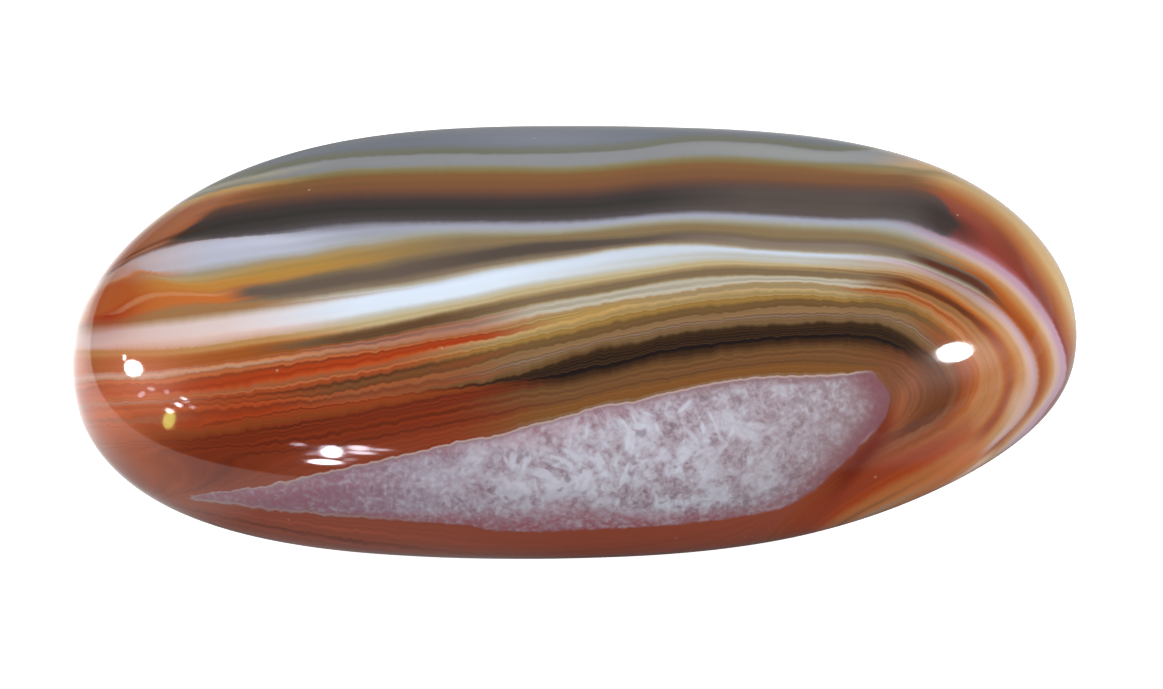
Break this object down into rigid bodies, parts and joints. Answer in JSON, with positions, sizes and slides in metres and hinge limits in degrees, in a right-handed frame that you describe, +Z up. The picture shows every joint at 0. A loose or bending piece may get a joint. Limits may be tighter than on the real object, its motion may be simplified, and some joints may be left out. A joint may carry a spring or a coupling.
{
  "type": "agate palm stone",
  "caption": "Polished banded agate pebble with a milky quartz core: a flattened oval stone that sits in the palm and rests on a small flat spot.",
  "frame": {"origin": "middle of the stone's outer box in X and Y, on the surface that it rests on", "axes": "+Z up, +X along the stone's length, +Y across its width; the quartz core crops out on the crown's -Y side"},
  "size_m": [0.0748, 0.0346, 0.0228],
  "materials": {
    "agate": "polished"
  },
  "bodies": {
    "root": {"agate_palm_stone": "agate"}
  },
  "joints": []
}
